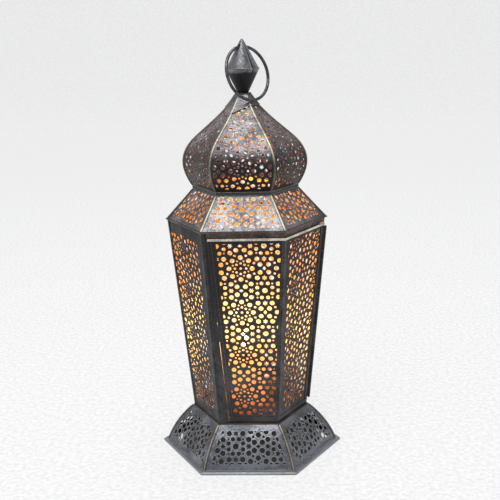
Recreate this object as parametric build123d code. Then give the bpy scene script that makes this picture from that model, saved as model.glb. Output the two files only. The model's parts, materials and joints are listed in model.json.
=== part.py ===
from build123d import *

import math
import os

os.makedirs("parts", exist_ok=True)

# A hexagonal pierced-metal lantern. Origin: centre of the base on the table, +Z up.
# Corners lie at 0, 60, 120 ... degrees about Z, and the front face looks along -Y.
# A "radius" of a hexagon runs to its corners. All lengths are in millimetres.

# Directions the six faces look in, in degrees about Z
FRONT, FRONT_RIGHT, BACK_RIGHT, BACK, BACK_LEFT, FRONT_LEFT = (-90, -30, 30, 90, 150, 210)
FACES = (FRONT, FRONT_RIGHT, BACK_RIGHT, BACK, BACK_LEFT, FRONT_LEFT)

# Heights of the horizontal joints, from the table up
RIM_EDGE_TOP = 2.2
RIM_TOP = 3.2
FLOOR_BOTTOM = 48.7
FLOOR_TOP = 49.8
BODY_TOP = 289.0
EAVE_TOP = 290.6
ROOF_TOP = 326.4
COLLAR_TOP = 330.4
GORE_TOP = 428.0
CAP_TOP = 436.8
NECK_TOP = 438.4
FINIAL_SEAM = 465.0
TOTAL_HEIGHT = 500.0

# Corner radii at those joints
RIM_RADIUS = 112.3
RIM_TOP_RADIUS = 111.1
RIM_INNER_RADIUS = 101.5
FLOOR_RADIUS = 72.2
BODY_LOW_RADIUS = 70.3
BODY_HIGH_RADIUS = 94.6
EAVE_RADIUS = 97.3
EAVE_INNER_RADIUS = 91.5
ROOF_LOW_RADIUS = 95.4
ROOF_HIGH_RADIUS = 62.8
COLLAR_RADIUS = 63.5

# Sheet metal and the strips soldered over its seams
SHEET = 0.8
STRIP = 0.7
PANEL_SETBACK = 0.6
BODY_STRIP_LEG = 2.8
ROOF_STRIP_LEG = 1.8
DOME_STRIP_LEG = 1.5
SKIRT_STRIP_LEG = 2.3

# Corner profiles (radius, height) of the two curved tiers
SKIRT_PROFILE = [(106.6, 2.0), (90.4, 31.2), (72.0, 49.8)]
DOME_PROFILE = [
    (63.2, 330.0),
    (71.0, 345.0),
    (73.5, 358.5),
    (67.2, 377.5),
    (48.6, 396.0),
    (26.0, 416.0),
    (8.2, 437.2),
]

# The door: two panels of one bent leaf, on the front and front right faces
DOOR_LOW = 4.1
DOOR_TOP = 233.5
STILE_LOW_WIDTH = 11.6
STILE_HIGH_WIDTH = 5.7
DOOR_SLIT = 0.7
TOP_HEM = 1.5
TOP_HEM_HEIGHT = 2.6
LOW_HEM = 0.75
LOW_HEM_HEIGHT = 4.2
EDGE_HEM_WIDTH = 3.6
JOINT_GAP = 0.15
EDGE_HEM_SPAN = (DOOR_LOW + LOW_HEM_HEIGHT + JOINT_GAP, DOOR_TOP - TOP_HEM_HEIGHT - JOINT_GAP)

# The tab that the shut door rests against, riveted inside the stile
STOP_S = 117.0
STOP_SETBACK = 3.0
STOP_HEIGHT = 22.0
STOP_FLAT = 5.4
STOP_REACH = 7.0
STOP_REACH_CENTRE = 5.6
STOP_STEP = 0.4
RIVET_RADIUS = 1.2
RIVET_HEAD_RADIUS = 1.9
RIVET_HEAD_HEIGHT = 0.8
RIVET_HEAD_ROUND = 0.5
RIVET_TAIL_RADIUS = 1.8
RIVET_TAIL_HEIGHT = 0.6

# The hinge along the right-hand corner
HINGE_OFFSET = 1.8
KNUCKLE_RADIUS = 1.5
ROD_RADIUS = 0.7
RUNNING_FIT = 0.05
KNUCKLE_COUNT = 7
KNUCKLE_GAP = 0.4
HINGE_LOW = 9.0
HINGE_HIGH = 229.5
LEAF_THICKNESS = 0.75
LEAF_NEAR = 1.0
LEAF_FAR = 8.0
ROD_HEAD_RADIUS = 1.3
ROD_HEAD_HEIGHT = 0.8
HINGE_SETBACK = 1.6

# Hoops inside the body, the eave and the collar
RING_THICKNESS = 0.9
BOTTOM_RING_HEIGHT = 3.5
TOP_RING_HEIGHT = 5.9
END_GAP = 0.3
COLLAR_INNER_RADIUS = 61.4
COLLAR_RIVET_RADIUS = 1.0
COLLAR_RIVET_HEAD = (1.7, 1.0)
COLLAR_RIVET_TAIL = (1.5, 0.6)
COLLAR_RIVET_ROUND = 0.7

# The plain cap over the dome's point
CAP_CLEARANCE = 0.03
CAP_SHEET = 0.7
CAP_LOW = 412.0
CAP_EDGE = 424.5
CAP_SLANT = 23.0
CAP_SLANT_AZIMUTH = -130.0
CAP_SLANT_HEIGHT = 428.0
NECK_RING_RADIUS = 9.6
NECK_RING_BORE = 5.2

# The piercing: the pitch of the sheet's square repeat and how large its holes are on each tier
BODY_PIERCING = (53.9, 1.0)
ROOF_PIERCING = (53.4, 1.0)
SKIRT_PIERCING = (53.4, 1.2)
DOME_PIERCING = (53.4, 0.88)
SMALLEST_CUT_AREA = 2.6
BODY_WINDOW_LOW = 11.5
BODY_WINDOW_HIGH = 227.0
ROOF_WINDOW_LOW = 5.0
ROOF_WINDOW_HIGH = 44.0
ROOF_MARGINS = (5.5, 5.5, 4.0, 4.0)
SKIRT_WINDOW = (7.5, 8.5, 9.0)
DOME_WINDOW = (3.6, 4.5, 17.0)

# Where the repeat's corner falls on each face, and the plain margins beside its holes
DOOR_FRONT_CUT = ((22.9, 8.9), (18.2, 4.4, 15.4, 4.2))
DOOR_SIDE_CUT = ((9.0, 31.7), (10.4, 11.5, 9.2, 9.5))
FIXED_CUTS = {
    "back_right": (BACK_RIGHT, (-12.0, 18.0), (10.5, 6.0, 12.0, 5.0)),
    "back": (BACK, (20.0, 4.0), (6.0, 6.0, 5.0, 5.0)),
    "back_left": (BACK_LEFT, (-4.0, 40.0), (6.0, 8.0, 5.0, 9.0)),
    "front_left": (FRONT_LEFT, (14.0, 22.6), (7.8, 9.0, 4.5, 14.5)),
}
ROOF_PHASES = [(25.1, 14.2), (-8.0, 33.0), (14.0, 2.0), (0.0, 20.0), (-20.0, 9.0), (6.0, 27.0)]
SKIRT_PHASES = [(-15.2, 29.5), (13.2, 5.7), (2.0, 22.0), (-24.0, 40.0), (11.0, 15.0), (-5.3, 32.6)]
DOME_PHASES = [(26.7, 0.8), (9.0, 20.0), (-14.0, 38.0), (20.0, 12.0), (0.0, 30.0), (-22.0, 6.0)]

# Finial, carrying ring and candle
NECK_RADIUS = 6.3
SEAM_RADIUS = 19.3
CONE_WALL = 1.1
LIP_RADIUS = 19.9
LIP_ROUND = 0.4
LIP_TOP = 1.9
TIP_FLAT = 0.9
TIP_ROUND = 2.3
TIP_DEPTH = 4.0
EYE_HEIGHT = 491.0
EYE_RADIUS = 3.0
RING_RADIUS = 31.5
RING_WIRE = 1.85
RING_YAW = 45.0
RING_LEAN = 16.0
CUP_RADIUS = 33.0
CUP_WALL = 1.0
CUP_HEIGHT = 9.0
CANDLE_RADIUS = 25.0
CANDLE_HEIGHT = 73.0
CANDLE_PLACE = (-6.0, 0.0)
CANDLE_SHOULDER = 2.5
POOL_RADIUS = 30.0
POOL_DEPTH = 2.0
WICK_RADIUS = 0.9
WICK_HEIGHT = 8.0
WICK_DEPTH = 12.0

COS30 = math.cos(math.radians(30))
TAN30 = math.tan(math.radians(30))
FAR = 400.0


def save(node, shape):
    """Write one node; a node may hold several separate solids."""
    solids = shape if isinstance(shape, list) else [shape]
    whole = Compound(children=[s for item in solids for s in item.solids()])
    export_step(whole, f"parts/{node}.step", write_pcurves=False)


def turned(shape, azimuth):
    return Rot(0, 0, azimuth) * shape


# ---------------------------------------------------------------- hexagonal helpers


def corners(radius, z):
    turns = [math.radians(60 * i) for i in range(6)]
    return [Vector(radius * math.cos(t), radius * math.sin(t), z) for t in turns]


def hex_block(low_radius, low, high_radius, high):
    """Six-sided block, tapering from one radius to the other, with flat faces."""
    base, top = corners(low_radius, low), corners(high_radius, high)
    sides = [[base[i - 1], base[i], top[i], top[i - 1]] for i in range(6)]
    faces = [Face(Wire.make_polygon(points, close=True)) for points in [base, top, *sides]]
    return Solid(Shell(faces))


def hex_ring(outer, inner, low, high):
    return hex_block(outer, low, outer, high) - hex_block(inner, low - 1, inner, high + 1)


def wedge(setback=0.0):
    """The sixth of space about +X, its two sides drawn back along the face by setback."""
    shift = setback * COS30 / math.sin(math.radians(30))
    side = FAR * TAN30
    outline = Polyline((shift, 0), (shift + FAR, side), (shift + FAR, -side), close=True)
    return extrude(make_face(outline), amount=2 * FAR)


class Band:
    """A straight tier of six flat faces between two hexagons; faces are worked on at azimuth 0."""

    def __init__(self, low_radius, low, high_radius, high):
        self.low_radius, self.high_radius = low_radius, high_radius
        run = (high_radius - low_radius) * COS30
        rise = high - low
        self.length = math.hypot(run, rise)
        self.lean = math.atan2(run, rise)
        normal = (math.cos(self.lean), 0, -math.sin(self.lean))
        self.plane = Plane(origin=(low_radius * COS30, 0, low), x_dir=(0, 1, 0), z_dir=normal)
        self.low, self.rise = low, rise

    def half(self, s):
        """Half the face's width at distance s up the slope."""
        return (self.low_radius + (self.high_radius - self.low_radius) * s / self.length) / 2

    def radius_at(self, z):
        return self.low_radius + (self.high_radius - self.low_radius) * (z - self.low) / self.rise

    def slope_at(self, z):
        """Distance up the slope at height z."""
        return (z - self.low) / math.cos(self.lean)

    def inner_radius(self, z, depth):
        """Corner radius of the surface that lies depth inside the faces, at height z."""
        return self.radius_at(z) - depth / math.cos(self.lean) / COS30

    def inner_ring(self, depth, thickness, low, high):
        """Hoop lining the faces: its outside lies depth inside them."""
        outer = hex_block(self.inner_radius(low, depth), low, self.inner_radius(high, depth), high)
        deep = depth + thickness
        under, over = low - 1, high + 1
        hole = hex_block(self.inner_radius(under, deep), under, self.inner_radius(over, deep), over)
        return outer - hole

    def strip(self, points, thickness=STRIP, setback=0.0):
        """A strip on the outside of the face, trimmed at the face's corner planes."""
        plate = extrude(self.plane * make_face(Polyline(*points, close=True)), amount=thickness)
        return plate & wedge(setback)

    def corner_strip(self, leg, low, high, thickness=STRIP):
        """V-shaped seam strip over the corner at azimuth 0."""
        left, right = -self.half(low) + leg, -self.half(high) + leg
        outline = [(left, low), (left - 2 * leg, low), (right - 2 * leg, high), (right, high)]
        near = self.strip([(-x, s) for x, s in outline], thickness)
        far = mirror(near, about=Plane.XZ)
        return turned(near, -30) + turned(far, 30)


BODY = Band(BODY_LOW_RADIUS, FLOOR_TOP, BODY_HIGH_RADIUS, BODY_TOP)
BODY_EDGE = BODY.length - SHEET * math.tan(BODY.lean)
ROOF = Band(ROOF_LOW_RADIUS, EAVE_TOP, ROOF_HIGH_RADIUS, ROOF_TOP)


# ---------------------------------------------------------------- the pierced pattern


def disc(diameter):
    return (Circle(diameter / 2), diameter / 2)


def star(tip_to_tip, angle):
    tip = tip_to_tip / 2
    notch = tip * 0.55
    points = []
    for i in range(12):
        reach = tip if i % 2 == 0 else notch
        turn = math.radians(angle + 30 * i)
        points.append((reach * math.cos(turn), reach * math.sin(turn)))
    return (make_face(Polyline(*points, close=True)), tip)


def diamond(along, across):
    points = [(along / 2, 0), (0, across / 2), (-along / 2, 0), (0, -across / 2)]
    return (make_face(Polyline(*points, close=True)), max(along, across) / 2)


def polar(radius, first, count):
    for i in range(count):
        turn = math.radians(first + 360 * i / count)
        yield (radius * math.cos(turn), radius * math.sin(turn))


# Diameters of the round holes, the star's width and the diamond's two widths, before scaling
CENTRE_HOLE, LARGE_HOLE, RING_HOLE, SMALL_HOLE, DOT, PINHOLE = (6.2, 5.5, 4.5, 2.9, 2.2, 2.1)
STAR_WIDTH = 6.8
DIAMOND_LONG, DIAMOND_SHORT = (5.5, 4.2)


def repeat_cell(pitch, scale):
    """Holes of one square repeat as (x, y, shape): a ringed disc at its corner, a rosette at its middle,
    and a diamond between two stars along each edge."""
    large, small = disc(LARGE_HOLE * scale), disc(SMALL_HOLE * scale)
    ringed = [(0, 0, disc(CENTRE_HOLE * scale))]
    ringed += [(x, y, disc(RING_HOLE * scale)) for x, y in polar(0.173 * pitch, 22.5, 8)]
    ringed += [(x, y, disc(DOT * scale)) for x, y in polar(0.225 * pitch, 45, 4)]
    edge = []
    for side in (-0.213 * pitch, 0.213 * pitch):
        edge += [(side, up, large) for up in (-0.151 * pitch, 0.151 * pitch)]
    for side in (-0.088 * pitch, 0.088 * pitch):
        edge += [(side, up, large) for up in (-0.09 * pitch, 0.09 * pitch)]
    middle = pitch / 2
    along = [(0, 0, diamond(DIAMOND_LONG * scale, DIAMOND_SHORT * scale)), *edge]
    along += [(side, 0, star(STAR_WIDTH * scale, 0)) for side in (-0.213 * pitch, 0.213 * pitch)]
    up = [(y, x, hole) for x, y, hole in edge]
    up.append((0, 0, diamond(DIAMOND_SHORT * scale, DIAMOND_LONG * scale)))
    up += [(0, side, star(STAR_WIDTH * scale, 90)) for side in (-0.213 * pitch, 0.213 * pitch)]
    rosette = [(0, 0, small)]
    rosette += [(x, y, small) for x, y in polar(0.12 * pitch, 0, 8)]
    rosette += [(x, y, disc(PINHOLE * scale)) for x, y in polar(0.177 * pitch, 22.5, 8)]
    rosette += [(x, y, large) for x, y in polar(0.245 * pitch, 0, 8)]
    rosette += [(x, y, small) for x, y in polar(0.308 * pitch, 22.5, 8)]
    cell = ringed + [(middle + x, y, hole) for x, y, hole in along]
    cell += [(x, middle + y, hole) for x, y, hole in up]
    return cell + [(middle + x, middle + y, hole) for x, y, hole in rosette]


def inside_distance(x, y, window):
    """How far a point lies inside a window with no notches, drawn anticlockwise (negative outside)."""
    reach = []
    for (x0, y0), (x1, y1) in zip(window, window[1:] + window[:1]):
        edge = math.hypot(x1 - x0, y1 - y0)
        reach.append(((x1 - x0) * (y - y0) - (y1 - y0) * (x - x0)) / edge)
    return min(reach)


def repeats(values, start, pitch):
    """Numbers of the repeats that cover a run of values, counted from the one at start."""
    first = math.floor((min(values) - start) / pitch) - 1
    last = math.ceil((max(values) - start) / pitch)
    return range(first, last + 1)


def piercing(window, phase, pattern):
    """Holes inside a window as (x, y, face); those on its edge are cut off straight along it."""
    pitch, scale = pattern
    cell = repeat_cell(pitch, scale)
    window_face = make_face(Polyline(*window, close=True))
    holes = []
    for column in repeats([x for x, y in window], phase[0], pitch):
        for row in repeats([y for x, y in window], phase[1], pitch):
            for x0, y0, (shape, reach) in cell:
                x = phase[0] + column * pitch + x0
                y = phase[1] + row * pitch + y0
                depth = inside_distance(x, y, window)
                if depth >= reach:
                    holes.append((x, y, shape.face()))
                elif depth > -reach:
                    cut = (Pos(x, y) * shape) & window_face
                    faces = cut.faces() if cut else []
                    holes += [(x, y, Pos(-x, -y) * f) for f in faces if f.area > SMALLEST_CUT_AREA]
    return holes


def flat_panel(band, outline, window, phase, pattern):
    """A flat pierced sheet whose outside lies in the band's face."""
    holes = [Pos(x, y) * face for x, y, face in piercing(window, phase, pattern)]
    outer = Wire.make_polygon([Vector(x, y, 0) for x, y in outline], close=True)
    sheet = Face(outer, [hole.outer_wire() for hole in holes])
    return extrude(band.plane * sheet, amount=-SHEET)


def trapezoid(band, low, high, margins):
    """Outline on a face between two slope distances, drawn in from its two corners by the margins
    (left and right at the low end, left and right at the high end)."""
    left_low, right_low, left_high, right_high = margins
    return [
        (-band.half(low) + left_low, low),
        (band.half(low) - right_low, low),
        (band.half(high) - right_high, high),
        (-band.half(high) + left_high, high),
    ]


class CurvedTier:
    """A tier of six curved sheets, each bent one way only along a corner profile."""

    def __init__(self, profile, low, high):
        self.low, self.high = low, high
        apothems = [(radius * COS30, z) for radius, z in profile]
        self.curve = Spline(*apothems) if len(apothems) > 3 else ThreePointArc(*apothems)
        self.length = self.curve.length

    def frame(self, s):
        """Point and outward normal of the curve at distance s along it."""
        point = self.curve.position_at(s, position_mode=PositionMode.LENGTH)
        tangent = self.curve.tangent_at(s, position_mode=PositionMode.LENGTH)
        return point, Vector(tangent.Y, -tangent.X, 0)

    def offset_points(self, depth, count=13):
        stations = [self.length * i / (count - 1) for i in range(count)]
        return [p + n * depth for p, n in (self.frame(s) for s in stations)]

    def shell(self, inner, outer, setback, low=None, high=None):
        """The part between two offsets of the curve, over one face at azimuth 0."""
        low = self.low if low is None else low
        high = self.high if high is None else high
        near, far = self.offset_points(inner), self.offset_points(outer)
        section = make_face([Spline(*near), Line(near[-1], far[-1]), Spline(*far), Line(far[0], near[0])])
        plate = extrude(Plane.XZ * section, amount=FAR / 2, both=True)
        slab = Pos(0, 0, (low + high) / 2) * Box(2 * FAR, 2 * FAR, high - low)
        return plate & wedge(setback) & slab

    def pierced_panel(self, margin, low_margin, high_margin, phase, pattern):
        sheet = self.shell(-SHEET, 0, PANEL_SETBACK)
        low, high = low_margin, self.length - high_margin
        stations = [low + (high - low) * i / 12 for i in range(13)]
        right = [(self.frame(s)[0].X * TAN30 - margin, s) for s in stations]
        left = [(-x, s) for x, s in reversed(right)]
        cutters = []
        for x, s, face in piercing(right + left, phase, pattern):
            point, normal = self.frame(s)
            place = Plane(origin=(point.X, x, point.Y), x_dir=(0, 1, 0), z_dir=(normal.X, 0, normal.Y))
            cutters.append(extrude(place * face, amount=2.0, both=True))
        return sheet - cutters

    def corner_strip(self, leg, thickness=STRIP):
        """Curved V-shaped seam strip over the corner at azimuth 0."""
        shell = self.shell(0, thickness, 0)
        near_edge = shell & (wedge(0) - wedge(leg))
        right = ShapeList(near_edge.solids()).sort_by(Axis.Y)[-1]
        left = mirror(right, about=Plane.XZ)
        return turned(right, -30) + turned(left, 30)


SKIRT = CurvedTier(SKIRT_PROFILE, RIM_TOP, FLOOR_BOTTOM)
DOME = CurvedTier(DOME_PROFILE, COLLAR_TOP, GORE_TOP)


# ---------------------------------------------------------------- base


def base_rim():
    """Folded flange that the lantern stands on."""
    edge = hex_block(RIM_RADIUS, 0, RIM_RADIUS, RIM_EDGE_TOP)
    shoulder = hex_block(RIM_RADIUS, RIM_EDGE_TOP, RIM_TOP_RADIUS, RIM_TOP)
    return edge + shoulder - hex_block(RIM_INNER_RADIUS, -1, RIM_INNER_RADIUS, RIM_TOP + 1)


def floor_plate():
    return hex_block(FLOOR_RADIUS, FLOOR_BOTTOM, FLOOR_RADIUS, FLOOR_TOP)


def candle_cup():
    base = Pos(0, 0, FLOOR_TOP) * extrude(Circle(CUP_RADIUS), amount=CUP_HEIGHT)
    well = Pos(0, 0, FLOOR_TOP + CUP_WALL) * extrude(Circle(CUP_RADIUS - CUP_WALL), amount=CUP_HEIGHT)
    return base - well


CANDLE_LOW = FLOOR_TOP + CUP_WALL
CANDLE_TOP = CANDLE_LOW + CANDLE_HEIGHT


def candle():
    """Loose pillar candle with a rounded shoulder and a shallow pool round the wick."""
    wax = extrude(Pos(*CANDLE_PLACE, CANDLE_LOW) * Circle(CANDLE_RADIUS), amount=CANDLE_HEIGHT)
    wax = fillet(wax.edges().group_by(Axis.Z)[-1], CANDLE_SHOULDER)
    pool = Pos(*CANDLE_PLACE, CANDLE_TOP - POOL_DEPTH + POOL_RADIUS) * Sphere(POOL_RADIUS)
    bore = extrude(Pos(*CANDLE_PLACE, CANDLE_TOP - WICK_DEPTH) * Circle(WICK_RADIUS), amount=2 * WICK_DEPTH)
    return wax - pool - bore


def wick():
    length = WICK_DEPTH - POOL_DEPTH + WICK_HEIGHT
    rod = extrude(Pos(*CANDLE_PLACE, CANDLE_TOP - WICK_DEPTH) * Circle(WICK_RADIUS), amount=length)
    return fillet(rod.edges().group_by(Axis.Z)[-1], WICK_RADIUS / 2)


save("base_rim", base_rim())
save("floor_plate", floor_plate())
save("candle_cup", candle_cup())
save("candle", candle())
save("wick", wick())
for number, (azimuth, phase) in enumerate(zip(FACES, SKIRT_PHASES), 1):
    panel = SKIRT.pierced_panel(*SKIRT_WINDOW, phase, SKIRT_PIERCING)
    save(f"skirt_panel_{number}", turned(panel, azimuth))
skirt_seam = SKIRT.corner_strip(SKIRT_STRIP_LEG)
save("skirt_seams", [turned(skirt_seam, 60 * i) for i in range(6)])


# ---------------------------------------------------------------- body frame and fixed panels


def body_panel(phase, margins):
    edges = (PANEL_SETBACK,) * 4
    outline = trapezoid(BODY, 0, BODY_EDGE, edges)
    window = trapezoid(BODY, BODY_WINDOW_LOW, BODY_WINDOW_HIGH, margins)
    return flat_panel(BODY, outline, window, phase, BODY_PIERCING)


def stile_edge(s):
    """Right-hand edge of the fixed strip beside the door, across the front face."""
    width = STILE_LOW_WIDTH + (STILE_HIGH_WIDTH - STILE_LOW_WIDTH) * s / BODY.length
    return -BODY.half(s) + width


def door_stile():
    """Fixed strip on the left of the front face, beside the door's free edge."""
    left = PANEL_SETBACK
    low, high = 0, BODY_EDGE
    points = [
        (-BODY.half(low) + left, low),
        (stile_edge(low), low),
        (stile_edge(high), high),
        (-BODY.half(high) + left, high),
    ]
    strip = extrude(BODY.plane * make_face(Polyline(*points, close=True)), amount=-SHEET)
    rivet_hole = extrude(stop_site() * Circle(RIVET_RADIUS), amount=2 * SHEET, both=True)
    return turned(strip - rivet_hole, FRONT)


def stop_site():
    """Plane on the inside of the stile at the stop's rivet, facing inwards."""
    point = BODY.plane.from_local_coords((stile_edge(STOP_S) - STOP_SETBACK, STOP_S, -SHEET))
    return Plane(origin=point, x_dir=(0, 1, 0), z_dir=-BODY.plane.z_dir)


def door_stop():
    """Joggled tab inside the stile; its free end stands behind the door's edge."""
    site = stop_site()
    flat = extrude(site * Rectangle(STOP_FLAT, STOP_HEIGHT), amount=SHEET)
    reach = Pos(STOP_REACH_CENTRE, 0) * Rectangle(STOP_REACH, STOP_HEIGHT)
    tab = flat + extrude(site.offset(STOP_STEP) * reach, amount=SHEET)
    return turned(tab - extrude(site * Circle(RIVET_RADIUS), amount=SHEET), FRONT)


def stop_rivet():
    """Rivet that joins the stop tab to the stile."""
    site = stop_site()
    shank = extrude(site.offset(-SHEET) * Circle(RIVET_RADIUS), amount=2 * SHEET)
    top = site.offset(-SHEET - RIVET_HEAD_HEIGHT)
    head = extrude(top * Circle(RIVET_HEAD_RADIUS), amount=RIVET_HEAD_HEIGHT)
    head = fillet(head.faces().sort_by(Axis(site.origin, site.z_dir))[0].edges(), RIVET_HEAD_ROUND)
    tail = extrude(site.offset(SHEET) * Circle(RIVET_TAIL_RADIUS), amount=RIVET_TAIL_HEIGHT)
    return turned(head + shank + tail, FRONT)


for name, (azimuth, phase, margins) in FIXED_CUTS.items():
    save(f"body_panel_{name}", turned(body_panel(phase, margins), azimuth))
save("door_stile", door_stile())
save("door_stop", door_stop())
save("stop_rivet", stop_rivet())
save("bottom_ring", BODY.inner_ring(SHEET, RING_THICKNESS, FLOOR_TOP, FLOOR_TOP + BOTTOM_RING_HEIGHT))
save("top_ring", BODY.inner_ring(SHEET, RING_THICKNESS, BODY_TOP - TOP_RING_HEIGHT, BODY_TOP))
body_seam = BODY.corner_strip(BODY_STRIP_LEG, END_GAP, BODY.length - END_GAP)
save("body_seams", [turned(body_seam, corner) for corner in (60, 120, 180, 240)])


# ---------------------------------------------------------------- hinge

CORNER_RUN = BODY_HIGH_RADIUS - BODY_LOW_RADIUS
CORNER_LEAN = math.atan2(CORNER_RUN, BODY_TOP - FLOOR_TOP)
HALF_FOLD = math.acos(
    math.cos(BODY.lean) * COS30 * math.cos(CORNER_LEAN) + math.sin(BODY.lean) * math.sin(CORNER_LEAN)
)


def hinge_plane(along):
    """Plane across the hinge line, at a distance along it from the floor; local X points outwards."""
    outward = Vector(math.cos(CORNER_LEAN), 0, -math.sin(CORNER_LEAN))
    axis = Vector(math.sin(CORNER_LEAN), 0, math.cos(CORNER_LEAN))
    foot = Vector(BODY_LOW_RADIUS, 0, FLOOR_TOP) + outward * HINGE_OFFSET
    return Plane(origin=foot + axis * along, x_dir=outward, z_dir=axis)


def leaf_section(near, far):
    """Strip lying on the front right face, seen along the hinge line."""
    normal = Vector(math.cos(HALF_FOLD), -math.sin(HALF_FOLD), 0)
    away = Vector(-math.sin(HALF_FOLD), -math.cos(HALF_FOLD), 0)
    corner = Vector(-HINGE_OFFSET, 0, 0)
    points = [(near, 0), (far, 0), (far, LEAF_THICKNESS), (near, LEAF_THICKNESS)]
    return make_face(Polyline(*[corner + away * u + normal * v for u, v in points], close=True))


def hinge_leaf(first):
    """Leaf with every second rolled knuckle, the first one at index first."""
    span = (HINGE_HIGH - HINGE_LOW) / KNUCKLE_COUNT
    flat = hinge_plane(HINGE_LOW) * leaf_section(LEAF_NEAR, LEAF_FAR)
    leaf = extrude(flat, amount=HINGE_HIGH - HINGE_LOW)
    tangent = -HINGE_OFFSET * math.sin(HALF_FOLD)
    for index in range(first, KNUCKLE_COUNT, 2):
        foot = hinge_plane(HINGE_LOW + index * span + KNUCKLE_GAP / 2)
        length = span - KNUCKLE_GAP
        root = extrude(foot * leaf_section(tangent, LEAF_NEAR + 1), amount=length)
        roll = extrude(foot * Circle(KNUCKLE_RADIUS), amount=length)
        bore = extrude(foot * Circle(ROD_RADIUS + RUNNING_FIT), amount=length)
        leaf = leaf + root + roll - bore
    return leaf


def hinge_rod():
    """Rod through all the knuckles, its ends peened over."""
    low, high = HINGE_LOW + KNUCKLE_GAP / 2, HINGE_HIGH - KNUCKLE_GAP / 2
    rod = extrude(hinge_plane(low) * Circle(ROD_RADIUS), amount=high - low)
    head = Circle(ROD_HEAD_RADIUS)
    lower_head = extrude(hinge_plane(low - ROD_HEAD_HEIGHT) * head, amount=ROD_HEAD_HEIGHT)
    upper_head = extrude(hinge_plane(high) * head, amount=ROD_HEAD_HEIGHT)
    return lower_head + rod + upper_head


save("door_hinge_leaf", hinge_leaf(1))
save("frame_hinge_leaf", mirror(hinge_leaf(0), about=Plane.XZ))
save("hinge_rod", hinge_rod())


# ---------------------------------------------------------------- door


def door_edge(s):
    """Free edge of the door, across the front face."""
    return stile_edge(s) + DOOR_SLIT


def front_outline(low, high, right_low, right_high):
    return [(door_edge(low), low), (right_low, low), (right_high, high), (door_edge(high), high)]


def door_front_panel():
    setback = PANEL_SETBACK
    right_low, right_high = BODY.half(DOOR_LOW) - setback, BODY.half(DOOR_TOP) - setback
    outline = front_outline(DOOR_LOW, DOOR_TOP, right_low, right_high)
    phase, margins = DOOR_FRONT_CUT
    window = trapezoid(BODY, BODY_WINDOW_LOW, BODY_WINDOW_HIGH, margins)
    return turned(flat_panel(BODY, outline, window, phase, BODY_PIERCING), FRONT)


def door_side_panel():
    edges = (PANEL_SETBACK, HINGE_SETBACK, PANEL_SETBACK, HINGE_SETBACK)
    outline = trapezoid(BODY, DOOR_LOW, DOOR_TOP, edges)
    phase, margins = DOOR_SIDE_CUT
    window = trapezoid(BODY, BODY_WINDOW_LOW, BODY_WINDOW_HIGH, margins)
    return turned(flat_panel(BODY, outline, window, phase, BODY_PIERCING), FRONT_RIGHT)


def bent_hem(low, high, thickness):
    """Strip across both door panels, mitred at the bend."""
    past = 2 * thickness
    front = BODY.strip(front_outline(low, high, BODY.half(low) + past, BODY.half(high) + past), thickness)
    side = BODY.strip(trapezoid(BODY, low, high, (-past, HINGE_SETBACK, -past, HINGE_SETBACK)), thickness)
    return turned(front, FRONT) + turned(side, FRONT_RIGHT)


def door_edge_hem():
    low, high = EDGE_HEM_SPAN
    points = front_outline(low, high, door_edge(low) + EDGE_HEM_WIDTH, door_edge(high) + EDGE_HEM_WIDTH)
    return turned(BODY.strip(points, LOW_HEM), FRONT)


save("door_front_panel", door_front_panel())
save("door_side_panel", door_side_panel())
save("door_top_hem", bent_hem(DOOR_TOP - TOP_HEM_HEIGHT, DOOR_TOP, TOP_HEM))
save("door_bottom_hem", bent_hem(DOOR_LOW, DOOR_LOW + LOW_HEM_HEIGHT, LOW_HEM))
save("door_edge_hem", door_edge_hem())
save("door_corner_seam", turned(BODY.corner_strip(BODY_STRIP_LEG, *EDGE_HEM_SPAN), -60))


# ---------------------------------------------------------------- roof, collar and dome


def roof_panel(phase):
    low = SHEET * math.tan(-ROOF.lean)
    outline = trapezoid(ROOF, low, ROOF.length, (PANEL_SETBACK,) * 4)
    window = trapezoid(ROOF, ROOF_WINDOW_LOW, ROOF_WINDOW_HIGH, ROOF_MARGINS)
    return flat_panel(ROOF, outline, window, phase, ROOF_PIERCING)


def rivet_line():
    """Plane on the outside of the collar's front, facing outwards."""
    middle = (ROOF_TOP + COLLAR_TOP) / 2
    return Plane(origin=(0, -COLLAR_RADIUS * COS30, middle), x_dir=(1, 0, 0), z_dir=(0, -1, 0))


def neck_collar():
    hoop = hex_ring(COLLAR_RADIUS, COLLAR_INNER_RADIUS, ROOF_TOP, COLLAR_TOP)
    wall = COLLAR_RADIUS - COLLAR_INNER_RADIUS
    return hoop - extrude(rivet_line() * Circle(COLLAR_RIVET_RADIUS), amount=2 * wall, both=True)


def collar_rivet():
    wall = (COLLAR_RADIUS - COLLAR_INNER_RADIUS) * COS30
    head_radius, head_height = COLLAR_RIVET_HEAD
    tail_radius, tail_height = COLLAR_RIVET_TAIL
    head = extrude(rivet_line() * Circle(head_radius), amount=head_height)
    head = fillet(head.faces().sort_by(Axis.Y)[0].edges(), COLLAR_RIVET_ROUND)
    shank = extrude(rivet_line().offset(-wall) * Circle(COLLAR_RIVET_RADIUS), amount=wall)
    tail = extrude(rivet_line().offset(-wall - tail_height) * Circle(tail_radius), amount=tail_height)
    return head + shank + tail


def apex_cap():
    """Plain cap lapped over the gores' points and seams, its lower edge drawn down to a point in front."""
    inside = STRIP + CAP_CLEARANCE
    sector = DOME.shell(inside, inside + CAP_SHEET, 0, CAP_LOW, CAP_TOP)
    first, *others = [turned(sector, azimuth) for azimuth in FACES]
    cap = first + others
    below = Pos(0, 0, -FAR / 2) * Box(FAR, FAR, FAR)
    slant = Pos(0, 0, CAP_SLANT_HEIGHT) * Rot(0, 0, CAP_SLANT_AZIMUTH) * Rot(0, CAP_SLANT, 0) * below
    return cap - (slant & Pos(0, 0, CAP_EDGE) * below)


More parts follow.
